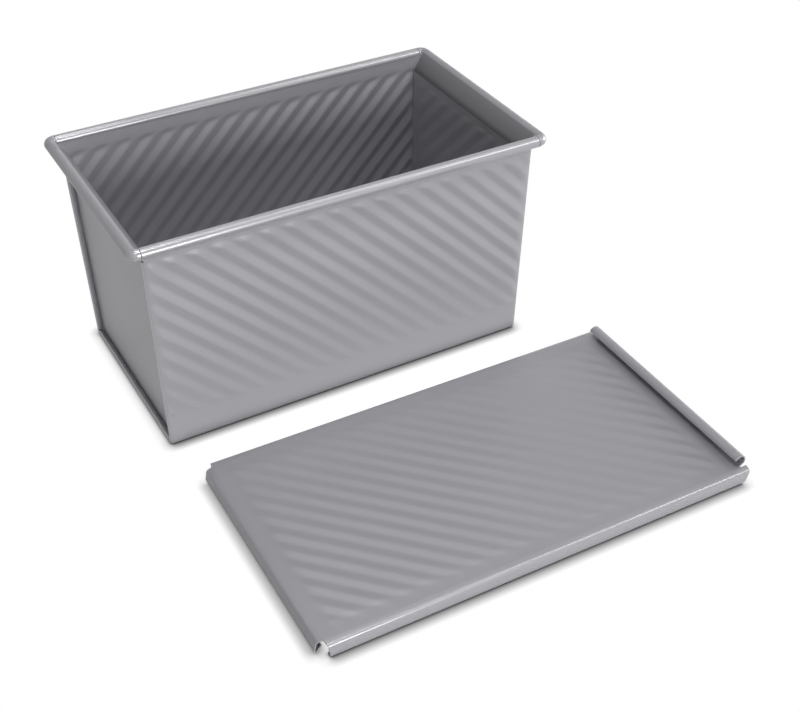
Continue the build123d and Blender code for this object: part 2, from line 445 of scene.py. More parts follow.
@dataclass
class NodeCanvas:
    """Short ways to add nodes to a tree."""

    tree: bpy.types.NodeTree

    def node(self, kind: str, inputs: dict = None, **settings: object) -> bpy.types.Node:
        """Adds a node.

        Args:
            kind: The node's type.
            inputs: A link or a plain value for some of its inputs, by name or number.
            settings: The node's own settings.

        Returns:
            The node.
        """
        made = self.tree.nodes.new(kind)
        for name, value in settings.items():
            setattr(made, name, value)
        self.feed(made, inputs or {})
        return made

    def feed(self, node: bpy.types.Node, inputs: dict) -> None:
        """Gives a node's inputs their links or plain values.

        Args:
            node: The node.
            inputs: A link or a plain value for each input, by name or number.
        """
        for slot, value in inputs.items():
            if isinstance(value, bpy.types.NodeSocket):
                self.tree.links.new(value, node.inputs[slot])
            else:
                node.inputs[slot].default_value = value

    def math(self, operation: str, *values: object) -> bpy.types.NodeSocket:
        """Adds a Math node with its inputs in order, and gives its output."""
        return self.node("ShaderNodeMath", dict(enumerate(values)), operation=operation).outputs[0]

    def vector(self, operation: str, inputs: dict) -> bpy.types.Node:
        """Adds a Vector Math node."""
        return self.node("ShaderNodeVectorMath", inputs, operation=operation)

    def noise(self, place: bpy.types.NodeSocket, scale: float, detail: float) -> bpy.types.NodeSocket:
        """Adds a Noise Texture and gives its grey output."""
        return self.node("ShaderNodeTexNoise", {"Vector": place, "Scale": scale, "Detail": detail}).outputs[0]

    def mix(self, share: bpy.types.NodeSocket, low: object, high: object) -> bpy.types.NodeSocket:
        """Adds a colour Mix node from one colour to the other, and gives its output."""
        return self.node("ShaderNodeMix", {0: share, 6: low, 7: high}, data_type="RGBA").outputs[2]

    def span(self, value: bpy.types.NodeSocket, low: float, high: float) -> bpy.types.NodeSocket:
        """Adds a Map Range from nought and one to the two limits, and gives its output."""
        return self.node("ShaderNodeMapRange", {"Value": value, "To Min": low, "To Max": high}).outputs[0]


@dataclass(frozen=True)
class RibPress:
    """One field of ribs, pressed into a flat stretch of sheet along parallel lines."""

    field_name: str
    across: tuple
    press: tuple
    crest: float
    pitch: float
    sharpness: float = 0.985

    @staticmethod
    def tree() -> bpy.types.GeometryNodeTree:
        """Finds the node tree that lifts a sheet's points by a soft zigzag, or makes it.

        Returns:
            The tree.
        """
        made = bpy.data.node_groups.get("pressed_ribs")
        if made:
            return made
        tree = bpy.data.node_groups.new("pressed_ribs", "GeometryNodeTree")
        sockets = (("Sheet", "Geometry"), ("Field", "String"), ("Across", "Vector"), ("Press", "Vector"),
                   ("Crest", "Float"), ("Pitch", "Float"), ("Sharpness", "Float"), ("Finish", "Material"))
        for label, kind in sockets:
            tree.interface.new_socket(label, in_out="INPUT", socket_type="NodeSocket" + kind)
        tree.interface.new_socket("Sheet", in_out="OUTPUT", socket_type="NodeSocketGeometry")
        canvas = NodeCanvas(tree)
        given = canvas.node("NodeGroupInput").outputs
        place = canvas.node("GeometryNodeInputPosition").outputs["Position"]
        along = canvas.vector("DOT_PRODUCT", {0: place, 1: given["Across"]}).outputs["Value"]
        shifted = canvas.math("SUBTRACT", along, given["Crest"])
        turns = canvas.math("MULTIPLY", canvas.math("DIVIDE", shifted, given["Pitch"]), math.tau)
        wave = canvas.math("MULTIPLY", canvas.math("COSINE", turns), given["Sharpness"])
        full = canvas.math("ARCSINE", given["Sharpness"])
        zigzag = canvas.math("DIVIDE", canvas.math("ARCSINE", wave), full)
        height = canvas.math("MULTIPLY_ADD", zigzag, 0.5, 0.5)
        rise = canvas.node("GeometryNodeInputNamedAttribute", data_type="FLOAT")
        canvas.feed(rise, {"Name": given["Field"]})
        lift = canvas.math("MULTIPLY", height, rise.outputs["Attribute"])
        offset = canvas.vector("SCALE", {0: given["Press"], "Scale": lift}).outputs["Vector"]
        moved = canvas.node("GeometryNodeSetPosition", {"Geometry": given["Sheet"], "Offset": offset})
        real = canvas.node("GeometryNodeRealizeInstances", {"Geometry": moved.outputs["Geometry"]})
        dressed = canvas.node("GeometryNodeSetMaterial", {"Geometry": real.outputs["Geometry"],
                                                          "Material": given["Finish"]})
        canvas.node("NodeGroupOutput", {"Sheet": dressed.outputs["Geometry"]})
        return tree

    def apply(self, sheet: bpy.types.Object, finish: bpy.types.Material) -> None:
        """Adds this field's modifier to a sheet.

        Args:
            sheet: The object to press.
            finish: The material that the sheet keeps.
        """
        modifier = sheet.modifiers.new(self.field_name, "NODES")
        modifier.node_group = self.tree()
        values = {"Field": self.field_name, "Across": self.across, "Press": self.press,
                  "Crest": self.crest * MM, "Pitch": self.pitch * MM, "Sharpness": self.sharpness,
                  "Finish": finish}
        for item in modifier.node_group.interface.items_tree:
            if item.in_out == "INPUT" and item.name in values:
                modifier[item.identifier] = values[item.name]


def blank_material(name: str) -> tuple:
    """Makes a material with its node tree.

    Args:
        name: The material's name.

    Returns:
        The material, a canvas on its tree and its shader node.
    """
    material = bpy.data.materials.new(name)
    material.use_nodes = True
    return material, NodeCanvas(material.node_tree), material.node_tree.nodes["Principled BSDF"]


@dataclass(frozen=True)
class CoatedSheet:
    """Satin grey baked coating over steel sheet, finely grained, lighter where polished, partly as a painted
    highlight, and darker where painted shade is marked.
    """

    name: str = "coated_sheet"
    light: tuple = (0.378, 0.372, 0.398, 1.0)
    dark: tuple = (0.350, 0.344, 0.370, 1.0)
    # Lighter colour where polished: partly rubbed coating, partly a painted highlight.
    polish_and_highlight_tint: tuple = (0.400, 0.395, 0.415, 1.0)
    # Painted shade colour, mixed in where the marks fall below nought.
    painted_shade_tint: tuple = (0.085, 0.084, 0.090, 1.0)
    metallic: float = 0.12
    metallic_gain: float = 0.33
    rough_low: float = 0.36
    rough_high: float = 0.44
    rough_drop: float = 0.17
    cloud_scale: float = 24.0
    cloud_detail: float = 3.0
    cloud_share: float = 0.5
    grain_scale: float = 1400.0
    grain_detail: float = 2.0
    grain_share: float = 0.5
    grain_depth: float = 0.00003

    def build(self) -> bpy.types.Material:
        """Makes the material.

        Returns:
            The material.
        """
        material, canvas, shader = blank_material(self.name)
        place = canvas.node("ShaderNodeTexCoord").outputs["Object"]
        # Marks above nought are polish with a painted highlight; marks below nought are painted shade.
        polish_and_painted_light = canvas.node("ShaderNodeAttribute", attribute_name="polish_and_painted_light").outputs["Fac"]
        cloud = canvas.noise(place, self.cloud_scale, self.cloud_detail)
        grain = canvas.noise(place, self.grain_scale, self.grain_detail)
        clouds = canvas.math("MULTIPLY", cloud, self.cloud_share)
        tint = canvas.mix(canvas.math("MULTIPLY_ADD", grain, self.grain_share, clouds), self.dark, self.light)
        # Marks below nought mix in the painted shade colour.
        tint = canvas.mix(canvas.math("MULTIPLY", polish_and_painted_light, -1.0), tint, self.painted_shade_tint)
        rough = canvas.span(cloud, self.rough_low, self.rough_high)
        bump = canvas.node("ShaderNodeBump", {"Distance": self.grain_depth, "Height": grain})
        canvas.feed(shader, {
            # Polished marks lighten the colour, partly as a painted highlight.
            "Base Color": canvas.mix(polish_and_painted_light, tint, self.polish_and_highlight_tint),
            "Roughness": canvas.math("MULTIPLY_ADD", polish_and_painted_light, -self.rough_drop, rough),
            "Metallic": canvas.span(polish_and_painted_light, self.metallic, self.metallic + self.metallic_gain),
            "Normal": bump.outputs["Normal"],
        })
        return material


@dataclass(frozen=True)
class DrawnWire:
    """Plain drawn steel wire with a slightly uneven gloss."""

    name: str = "drawn_wire"
    colour: tuple = (0.55, 0.55, 0.56, 1.0)
    metallic: float = 1.0
    rough_low: float = 0.35
    rough_high: float = 0.45
    grain_scale: float = 900.0
    grain_detail: float = 2.0

    def build(self) -> bpy.types.Material:
        """Makes the material.

        Returns:
            The material.
        """
        material, canvas, shader = blank_material(self.name)
        place = canvas.node("ShaderNodeTexCoord").outputs["Object"]
        grain = canvas.noise(place, self.grain_scale, self.grain_detail)
        rough = canvas.span(grain, self.rough_low, self.rough_high)
        canvas.feed(shader, {"Base Color": self.colour, "Metallic": self.metallic, "Roughness": rough})
        return material


def finished(sheet: bpy.types.Object, presses: list, finish: bpy.types.Material) -> bpy.types.Object:
    """Presses the ribs, turns the result into a plain mesh and shades it.

    Args:
        sheet: The closed sheet.
        presses: The rib fields to press into it.
        finish: The sheet's material.

    Returns:
        The same object with its final mesh.
    """
    sheet.data.materials.append(finish)
    for press in presses:
        press.apply(sheet, finish)
    graph = bpy.context.evaluated_depsgraph_get()
    mesh = bpy.data.meshes.new_from_object(sheet.evaluated_get(graph))
    sheet.modifiers.clear()
    sheet.data = mesh
    mesh.name = sheet.name
    mesh.shade_smooth()
    mesh.set_sharp_from_angle(angle=math.radians(CREASE_ANGLE))
    return sheet


@dataclass
class PanBody:
    """Folded sheet of the pan: floor, long walls, long beads and the hems at both ends."""

    sizes: PanSizes
    front_offset: float = 4.9
    back_offset: float = 1.6
    floor_offset: float = 5.76
    floor_gap: float = 0.5
    bend_spans: int = 5
    foot_spans: int = 5
    fold_spans: int = 5
    fold_polish_and_highlight: tuple = (1, 4)
    fold_uncut: int = 3
    bead_spans: int = 24
    bead_step: int = 9
    level_limit: float = 0.999
    bend_limit: float = 0.95

    def half_rows(self, side: float, phase: float) -> np.ndarray:
        """Cross-section from the floor's bend up to the bead's start, on one side.

        Args:
            side: Minus one for the front and one for the back.
            phase: A height at which a row lies.

        Returns:
            Rows of y, z, the inward normal's y and z, and the height along the wall.
        """
        s = self.sizes
        middle = s.floor_bend + s.half
        centre_z = s.half + middle
        centre_y = s.wall_middle + centre_z * s.slope - middle / s.draft_cos
        bend = arc((centre_y, centre_z), middle, -90.0, -s.draft_degrees, self.bend_spans)
        inward = (np.array([centre_y, centre_z]) - bend) / middle
        end = s.rim_height / s.draft_cos - s.wall_rib_top_margin
        ribs = s.lattice(s.wall_rib_foot - s.grid_spare, end + s.grid_spare, phase)
        below = np.linspace(bend[-1, 1] / s.draft_cos, ribs[0], self.foot_spans + 1)[1:-1]
        top = (s.bead_foot - s.edge_round) / s.draft_cos
        above = np.array([s.hem_height / s.draft_cos, top, top + 2 * s.edge_round])
        ribs = ribs[ribs < above[0] - s.edge_round]
        h = np.concatenate([below, ribs, above])
        wall = stacked(s.wall_middle + h * s.draft_sin, h * s.draft_cos, -s.draft_cos, s.draft_sin, h)
        table = np.vstack([stacked(*bend.T, *inward.T, 0.0), wall])
        table[:, [0, 2]] *= side
        return table

    def rows(self) -> np.ndarray:
        """Cross-section from the front bead over the floor to the back bead.

        Returns:
            Rows as half_rows gives them.
        """
        s = self.sizes
        front = self.half_rows(-1.0, self.front_offset)
        back = self.half_rows(1.0, -self.back_offset)
        edge = back[0, 0] - self.floor_gap
        floor = stacked(s.lattice(-edge, edge, -self.floor_offset), s.half, 0.0, 1.0, 0.0)
        return np.vstack([front[::-1], floor, back])

    def build(self, finish: bpy.types.Material) -> bpy.types.Object:
        """Makes the folded sheet.

        Args:
            finish: The sheet's material.

        Returns:
            The object.
        """
        s = self.sizes
        shell = SheetShell(s.gauge, s.edge_round)
        rows = self.rows()
        y, z, ny, nz, h = rows.T
        x = s.lattice(s.hem_depth - s.hem_foot, s.hem_foot - s.hem_depth)
        fold_x = s.fold_start + z * s.slope
        edge = np.where(z < s.hem_height + s.edge_round, fold_x,
                        s.rim_x - s.rim_corner - s.rim_joint_gap - s.edge_round)
        near = (edge + x[-1]) / 2
        inner = np.broadcast_to(x, (len(rows), len(x)))
        main = stacked(np.column_stack([-edge, -near, inner, near, edge]), y[:, None], z[:, None])
        top = s.rim_height / s.draft_cos - s.wall_rib_top_margin / s.draft_cos
        in_wall = np.minimum(h - s.wall_rib_foot, top - h)
        in_floor = s.wall_inner - s.floor_rib_margin - np.abs(y)
        half_wall, half_floor = fold_x[:, None], s.panel_inner - s.floor_rib_margin
        rises = {}
        for name, there, inside, reach, rise in (
                ("front_ribs", (h > 0) & (y < 0), in_wall, half_wall, s.rib_rise),
                ("back_ribs", (h > 0) & (y > 0), in_wall, half_wall, s.back_rib_rise),
                ("floor_ribs", (h <= 0) & (nz > self.level_limit), in_floor, half_floor, s.rib_rise)):
            ends = soft_step((reach - np.abs(main[:, :, 0])) / s.rib_end)
            share = ends * soft_step(inside / s.rib_end)[:, None] * there[:, None]
            share[:, [0, -1]] = 0.0
            rises[name] = (share * rise)[:, :, None]
        ids = shell.add(main, **rises)
        shell.grid(ids, Diagonal.FALLING)
        self.add_hems(shell, ids, rows, edge)
        self.add_beads(shell, ids, main)
        return finished(shell.build("pan_body_sheet"), self.presses(), finish)

    def add_hems(self, shell: SheetShell, ids: np.ndarray, rows: np.ndarray, edge: np.ndarray) -> None:
        """Adds the fold and the return round both ends, cut open at the floor's bends.

        Args:
            shell: The body's sheet.
            ids: Its point numbers, by row and column.
            rows: The cross-section.
            edge: How far from the middle the fold starts, on each row.
        """
        s = self.sizes
        y, z, ny, nz, h = rows.T
        middle = s.fold - s.half
        turn = np.radians(np.linspace(0.0, 180.0, self.fold_spans + 1))[1:]
        length = s.hem_depth - s.fold - s.edge_round
        depth = np.append(middle * (1 - np.cos(turn)), 2 * middle)
        reach = np.append(middle * np.sin(turn), -length)
        low = z < s.hem_height + s.edge_round
        bend = (np.abs(nz) < self.bend_limit) & (h == 0) & (np.abs(ny) < self.bend_limit)
        keep = np.repeat((low[:-1] & low[1:])[:, None], len(depth), axis=1)
        keep[:, self.fold_uncut:] &= ~(bend[:-1] | bend[1:])[:, None]
        for side, column in ((-1, 0), (1, -1)):
            made = shell.add(stacked(side * (edge[:, None] + reach), y[:, None] + ny[:, None] * depth,
                                     z[:, None] + nz[:, None] * depth))
            # The fold's coating is polished, with a lighter colour that is partly a painted highlight.
            shell.polish_and_painted_light(made[:, slice(*self.fold_polish_and_highlight)])
            shell.grid(np.hstack([ids[:, [column]], made]), keep=keep, flip=side < 0)

    def add_beads(self, shell: SheetShell, ids: np.ndarray, main: np.ndarray) -> None:
        """Rolls both long beads from the tops of the walls.

        Args:
            shell: The body's sheet.
            ids: Its point numbers, by row and column.
            main: Their places.
        """
        s = self.sizes
        picked = np.r_[0, np.arange(2, ids.shape[1] - 2, self.bead_step), ids.shape[1] - 1]
        ring = arc((s.rim_y, s.rim_height), s.bead - s.half, 180.0 - s.draft_degrees,
                   180.0 - s.bead_wrap, self.bead_spans)
        for row, side in ((0, -1.0), (-1, 1.0)):
            made = shell.add(stacked(main[row, picked, 0], side * ring[:, :1], ring[:, 1:]))
            shell.fan(ids[row], picked, made[0], side < 0)
            shell.grid(made, flip=side < 0)
            # The bead's coating is polished, with a lighter colour that is partly a painted highlight.
            shell.polish_and_painted_light(made)

    def presses(self) -> list:
        """Sets out the rib fields of the two walls and the floor.

        Returns:
            The three fields.
        """
        s = self.sizes
        up, out = SLANT * s.draft_cos, SLANT * s.draft_sin
        foot = s.wall_middle * s.draft_sin
        return [
            RibPress("front_ribs", (SLANT, -out, up), (0, -s.draft_cos, -s.draft_sin),
                     (self.front_offset + foot) * SLANT, s.rib_pitch),
            RibPress("back_ribs", (-SLANT, out, up), (0, s.draft_cos, -s.draft_sin),
                     (-self.back_offset + foot) * SLANT, s.rib_pitch),
            RibPress("floor_ribs", (SLANT, -SLANT, 0), (0, 0, 1),
                     self.floor_offset * SLANT, s.rib_pitch),
        ]


@dataclass
class EndPanel:
    """End panel of the pan: ribbed plate, flange, flare and bead with its rounded corners."""

    sizes: PanSizes
    side: int
    name: str
    offset: float = 4.0
    # Painted shade on the flare, from the section row given below: on the inside deepest at its bend and
    # lighter towards the bead, on the outside even.
    flare_painted_shade: tuple = (-0.84, -0.5)
    flare_outside_painted_shade: float = -0.45
    painted_shade_from: int = 2
    foot_spans: int = 5
    top_spans: int = 2
    flare_spans: int = 8
    ramp_spans: int = 3
    flange_spans: int = 5
    flange_corner_spans: int = 6
    lead_spans: int = 4
    bead_spans: int = 20
    corner_spans: int = 8
    corner_polish_and_highlight: int = 3

    def section(self) -> np.ndarray:
        """Section above the ribs: the flare's bend and its straight ramp.

        Returns:
            Rows of x and z.
        """
        s = self.sizes
        lean = math.radians(s.flare_degrees)
        radius = s.bead - s.half
        touch = np.array([s.rim_x - radius * math.cos(lean), s.rim_height + radius * math.sin(lean)])
        bend = s.flare_bend - s.half
        turn_x = bend * (s.draft_cos - math.cos(lean))
        turn_z = bend * (math.sin(lean) - s.draft_sin)
        run = (touch[0] - turn_x - s.panel_middle) / math.tan(lean)
        foot = (touch[1] - turn_z - run) / (1 - s.slope / math.tan(lean))
        centre = (s.panel_middle + foot * s.slope + bend * s.draft_cos, foot - bend * s.draft_sin)
        curve = arc(centre, bend, 180.0 - s.draft_degrees, 180.0 - s.flare_degrees, self.flare_spans)
        return np.vstack([curve, np.linspace(curve[-1], touch, self.ramp_spans + 1)[1:]])

    def build(self, finish: bpy.types.Material) -> bpy.types.Object:
        """Makes the panel, first as the right one.

        Args:
            finish: The sheet's material.

        Returns:
            The object.
        """
        s = self.sizes
        shell = SheetShell(s.gauge, s.edge_round)
        section = self.section()
        bend = s.panel_bend + s.half
        flat = s.floor_bend - s.seam_clearance - bend - s.half
        inset = flat + bend + s.half + s.seam_clearance
        ribs = s.lattice(s.wall_rib_foot - s.grid_spare, s.end_rib_top + s.grid_spare, self.offset)
        heights = np.concatenate([np.linspace(s.gauge + inset, ribs[0], self.foot_spans + 1)[:-1], ribs,
                                  np.linspace(ribs[-1], section[0, 1], self.top_spans + 1)[1:]])
        rows = np.vstack([stacked(s.panel_middle + heights * s.slope, heights), section[1:]])
        x, z = rows.T
        half_field = s.wall_inner - s.end_rib_side_margin
        y = s.lattice(-half_field, half_field)
        edge = s.wall_inner + z * s.slope - inset
        across = np.column_stack([-edge, np.broadcast_to(y, (len(rows), len(y))), edge])
        points = stacked(x[:, None], across, z[:, None])
        ends = soft_step((half_field - np.abs(y)) / s.rib_end)
        sides = soft_step(np.minimum(z - s.wall_rib_foot, s.end_rib_top - z) / s.rib_end)
        share = np.pad(sides[:, None] * ends, ((0, 0), (1, 1)))[:, :, None]
        ids = shell.add(points, end_ribs=share * np.array([s.end_rib_print, s.end_rib_rise]))
        shell.grid(ids, Diagonal.RISING)
        # Paints shade on the flare rows: the outer skin evenly, the inner skin fading towards the bead.
        flare = section[self.painted_shade_from:, 1]
        flare_painted_shade_values = np.interp(flare, [flare[0], flare[-1]], self.flare_painted_shade)
        shell.mark(ids[-len(flare):], self.flare_outside_painted_shade, flare_painted_shade_values[:, None])
        self.add_flange(shell, ids, points, len(heights), flat, bend)
        self.add_bead(shell, ids, points, len(heights), np.array([flat, flat + bend + s.half]))
        shell.points = [point * (self.side, self.side, 1) for point in shell.points]
        press = RibPress("end_ribs", (0, self.side * SLANT, SLANT),
                         (-self.side * s.draft_cos, 0, s.draft_sin), self.offset * SLANT, s.rib_pitch)
        return finished(shell.build(self.name), [press], finish)

    def add_flange(self, shell: SheetShell, ids: np.ndarray, points: np.ndarray, plate_rows: int,
                   flat: float, bend: float) -> None:
        """Bends the flange outward round the plate's sides and foot, up to the flare.

        Args:
            shell: The panel's sheet.
            ids: The plate's and flare's point numbers, by row and column.
            points: Their places.
            plate_rows: Number of rows below the flare.
            flat: Width of the level strip before the bend.
            bend: Radius of the bend.
        """
        s = self.sizes
        rows = list(range(plate_rows - 1, 0, -1))
        last = points.shape[1] - 1
        corner = [90.0 * n / self.flange_corner_spans for n in range(self.flange_corner_spans + 1)]
        stations = [(r, 0, 180.0) for r in rows]
        stations += [(0, 0, 180.0 + turned) for turned in corner]
        stations += [(0, c, 270.0) for c in range(1, last)]
        stations += [(0, last, 270.0 + turned) for turned in corner]
        stations += [(r, last, 360.0) for r in reversed(rows)]
        tip = s.fold_start - 2 * s.seam_clearance - s.edge_round
        turn = np.radians(np.linspace(0.0, 90.0, self.flange_spans + 1))
        out = np.concatenate([[0.0], flat + bend * np.sin(turn), [flat + bend]])
        deep = np.concatenate([[0.0], bend * (1 - np.cos(turn)), [tip - s.panel_middle]])
        ring = []
        for row, column, angle in stations:
            way = np.array([0.0, math.cos(math.radians(angle)), math.sin(math.radians(angle))])
            ring.append(points[row, column] + out[:, None] * way)
            ring[-1][:, 0] += deep
        start = np.array([[ids[row, column]] for row, column, angle in stations])
        shell.grid(np.hstack([start, shell.add(np.array(ring)[:, 1:])]))

    def add_bead(self, shell: SheetShell, ids: np.ndarray, points: np.ndarray, plate_rows: int,
                 wide: np.ndarray) -> None:
        """Widens the flare to the corners and rolls the bead along its top and round both corners.

        Args:
            shell: The panel's sheet.
            ids: The plate's and flare's point numbers, by row and column.
            points: Their places.
            plate_rows: Number of rows below the flare.
            wide: How far the flare's two outer columns lie from the plate's edge.
        """
        s = self.sizes
        radius, touch = s.bead - s.half, 180.0 - s.flare_degrees
        ring = arc((0.0, s.rim_height), radius, touch, 180.0 - s.bead_wrap, self.bead_spans)
        lead = arc((0.0, s.rim_height), radius, 180.0, touch, self.lead_spans)[:-1]
        rolled = shell.add(stacked(s.rim_x + ring[1:, :1], points[-1, :, 1], ring[1:, 1:]))
        joined = np.vstack([ids[-1:], rolled])
        shell.grid(joined)
        full = np.vstack([lead, ring])
        reach = s.rim_corner + full[:, :1]
        turns = np.radians(np.linspace(0.0, 90.0, self.corner_spans + 1))
        for side, column in ((-1, 0), (1, -1)):
            flip = side < 0
            corner = shell.add(stacked(s.rim_x - s.rim_corner + reach * np.cos(turns),
                                       side * (s.rim_y - s.rim_corner + reach * np.sin(turns)), full[:, 1:]))
            # The corner's outer rows are polished, with a lighter colour that is partly a painted highlight.
            shell.polish_and_painted_light(corner[:, -self.corner_polish_and_highlight:])
            shell.grid(corner, flip=flip)
            start = corner[len(lead):, 0]
            strip = np.repeat(points[plate_rows - 1:, [column]], 2, axis=1)
            strip[:, :, 1] += side * wide
            inner_top = shell.add(strip[-1, 0])
            strip = np.vstack([shell.add(strip[:-1]), [inner_top, start[0]]])
            shell.grid(np.hstack([ids[plate_rows - 1:, [column]], strip]), flip=flip)
            shell.grid(np.stack([joined[1:, column], start[1:]], axis=1), flip=flip)
            shell.face(joined[0, column], inner_top, start[0], start[1], joined[1, column], flip=flip)


@dataclass(frozen=True)
class CurlSection:
    """Section of a curl, as bends and straight runs that follow one another.

    Each step is its radius or its length, the heading at its end in degrees below
    level, and its number of spans. A step that keeps its heading is a straight run.
    """

    steps: tuple
    start: float

    def path(self, height: float) -> np.ndarray:
        """Middle of the sheet, outward from the plate's edge and then down and under.

        Args:
            height: Height of the plate's middle.

        Returns:
            Rows of the distance outward, the height and the length unrolled so far.
        """
        place = np.array([0.0, height, 0.0])
        heading = math.radians(self.start)
        rows = []
        for size, turned, spans in self.steps:
            goal = math.radians(turned)
            share = np.linspace(0.0, 1.0, spans + 1)[1:]
            if abs(goal - heading) < TINY:
                step = size * share[:, None] * np.array([math.cos(heading), -math.sin(heading), 1.0])
            else:
                angle = heading + (goal - heading) * share
                step = size * stacked(np.sin(angle) - math.sin(heading), np.cos(angle) - math.cos(heading),
                                      angle - heading)
            rows.append(place + step)
            place, heading = rows[-1][-1], goal
        return np.vstack(rows)


HOOK_CURL = CurlSection(((2.173, 7.0, 3), (1.0, 83.0, 5), (3.761, 83.0, 3), (1.9, 205.0, 8)), 7.0)
STOP_CURL = CurlSection(((1.5, 7.0, 2), (1.5, 80.0, 7), (3.7, 80.0, 3), (0.6, 228.0, 6), (2.3, 228.0, 2),
                         (1.2, 265.0, 3)), 7.0)


@dataclass
class SlideLid:
    """Lid: ribbed plate with curls on three sides and an open lip on the fourth."""

    sizes: PanSizes
    offset: float = 1.6
    step: int = 9
    hook_start: int = 11
    hook_polish_and_highlight: tuple = (2, 9)
    hook_slant: float = 0.14
    hook_slant_limit: float = 1.2
    hook_tail: float = 0.042
    stop_slant: float = 0.15
    stop_slant_limit: float = 0.6
    lip_spans: int = 20

    def build(self, finish: bpy.types.Material) -> bpy.types.Object:
        """Makes the lid where it lies on the table.

        Args:
            finish: The sheet's material.

        Returns:
            The object.
        """
        s = self.sizes
        shell = SheetShell(s.gauge, s.edge_round)
        low_x, high_x = s.lid_rib_margin, s.lid_length - s.lid_rib_lip_margin
        x = np.concatenate([[0.0, s.lid_notch], s.lattice(low_x, high_x),
                            [(high_x + s.lid_length) / 2, s.lid_length]])
        half_field = s.lid_side - s.lid_rib_margin
        outer = [s.lid_side - s.lid_notch, s.lid_side]
        y = np.concatenate([np.negative(outer[::-1]), s.lattice(-half_field, half_field, self.offset), outer])
        ends = soft_step(np.minimum(x - low_x, high_x - x) / s.lid_rib_end)
        sides = soft_step((half_field - np.abs(y)) / s.lid_rib_end)
        rise = sides[:, None] * ends * s.lid_rib_rise
        ids = shell.add(stacked(x, y[:, None], s.lid_level), lid_ribs=rise[:, :, None])
        keep = np.ones((len(y) - 1, len(x) - 1), bool)
        keep[0, 0] = keep[-1, 0] = False
        shell.grid(ids, Diagonal.RISING, keep)
        shell.face(ids[0, 1], ids[1, 1], ids[1, 0])
        shell.face(ids[-1, 1], ids[-2, 0], ids[-2, 1])
        self.add_side_curls(shell, ids, x)
        picked = np.r_[1, np.arange(2, len(y) - 2, self.step), len(y) - 2]
        self.add_left_curl(shell, ids[:, 0], picked, y[picked])
        self.add_lip(shell, ids[:, -1], picked, y[picked])
        turn = math.radians(s.lid_turn)
        cos, sin = math.cos(turn), math.sin(turn)
        spin = np.array([[cos, -sin, 0], [sin, cos, 0], [0, 0, 1]])
        place = np.array([*s.lid_place, 0.0])
        shell.points = [spin @ point + place for point in shell.points]
        across = spin @ np.array([SLANT, SLANT, 0.0])
        crest = self.offset * SLANT + float(across @ place)
        press = RibPress("lid_ribs", tuple(across), (0, 0, 1), crest, s.rib_pitch)
        return finished(shell.build("slide_lid_sheet"), [press], finish)

    def add_side_curls(self, shell: SheetShell, ids: np.ndarray, x: np.ndarray) -> None:
        """Curls both long edges down and under.

        Args:
            shell: The lid's sheet.
            ids: The plate's point numbers, by row and column.
            x: Where the plate's columns lie.
        """
        s = self.sizes
        ring = HOOK_CURL.path(s.lid_level)
        picked = np.r_[1:3, np.arange(self.hook_start, len(x) - 2, self.step), len(x) - 1]
        end = s.lid_end - s.edge_round
        for row, side in ((0, -1), (-1, 1)):
            curl = stacked(np.append(x[picked], end), side * (s.lid_side + ring[:, :1]), ring[:, 1:2])
            curl[:, 0, 0] += np.minimum(self.hook_slant * ring[:, 2], self.hook_slant_limit)
            curl[:, -1, 0] -= self.hook_tail * ring[:, 2] ** 2
            made = shell.add(curl)
            shell.fan(ids[row], picked, made[0], side < 0)
            tip = shell.add(np.array([end, side * s.lid_side, s.lid_level]))
            shell.face(ids[row, -1], tip, made[0, -1], made[0, -2], flip=side < 0)
            shell.grid(made, flip=side < 0)
            # The curl's bend is polished, with a lighter colour that is partly a painted highlight.
            shell.polish_and_painted_light(made[slice(*self.hook_polish_and_highlight)])

    def add_left_curl(self, shell: SheetShell, edge: np.ndarray, picked: np.ndarray, y: np.ndarray) -> None:
        """Curls the left edge down and under, as the lid's stop.

        Args:
            shell: The lid's sheet.
            edge: Point numbers along the plate's left edge.
            picked: Which of them the curl has a point for.
            y: Where those lie.
        """
        ring = STOP_CURL.path(self.sizes.lid_level)
        curl = stacked(-ring[:, :1], y, ring[:, 1:2])
        run_back = np.minimum(self.stop_slant * ring[:, 2], self.stop_slant_limit)
        curl[:, 0, 1] += run_back
        curl[:, -1, 1] -= run_back
        made = shell.add(curl)
        shell.fan(edge, picked, made[0])
        shell.grid(made)

    def add_lip(self, shell: SheetShell, edge: np.ndarray, picked: np.ndarray, y: np.ndarray) -> None:
        """Rolls the right edge up and back over the plate, as a lip to pull at.

        Args:
            shell: The lid's sheet.
            edge: Point numbers along the plate's right edge.
            picked: Which of them the lip has a point for.
            y: Where those lie.
        """
        s = self.sizes
        radius = s.lip_radius - s.half
        centre = (s.lid_length, s.lid_level + radius)
        ring = arc(centre, radius, -90.0, -90.0 + s.lip_wrap, self.lip_spans)[1:]
        tip = s.lid_side - s.lip_margin - s.edge_round
        made = shell.add(stacked(ring[:, :1], np.array([-tip, *y[1:-1], tip]), ring[:, 1:]))
        for number in range(len(picked) - 1):
            run = edge[picked[number]:picked[number + 1] + 1]
            shell.face(*run[::-1], made[0, number], made[0, number + 1])
        shell.grid(made, flip=True)


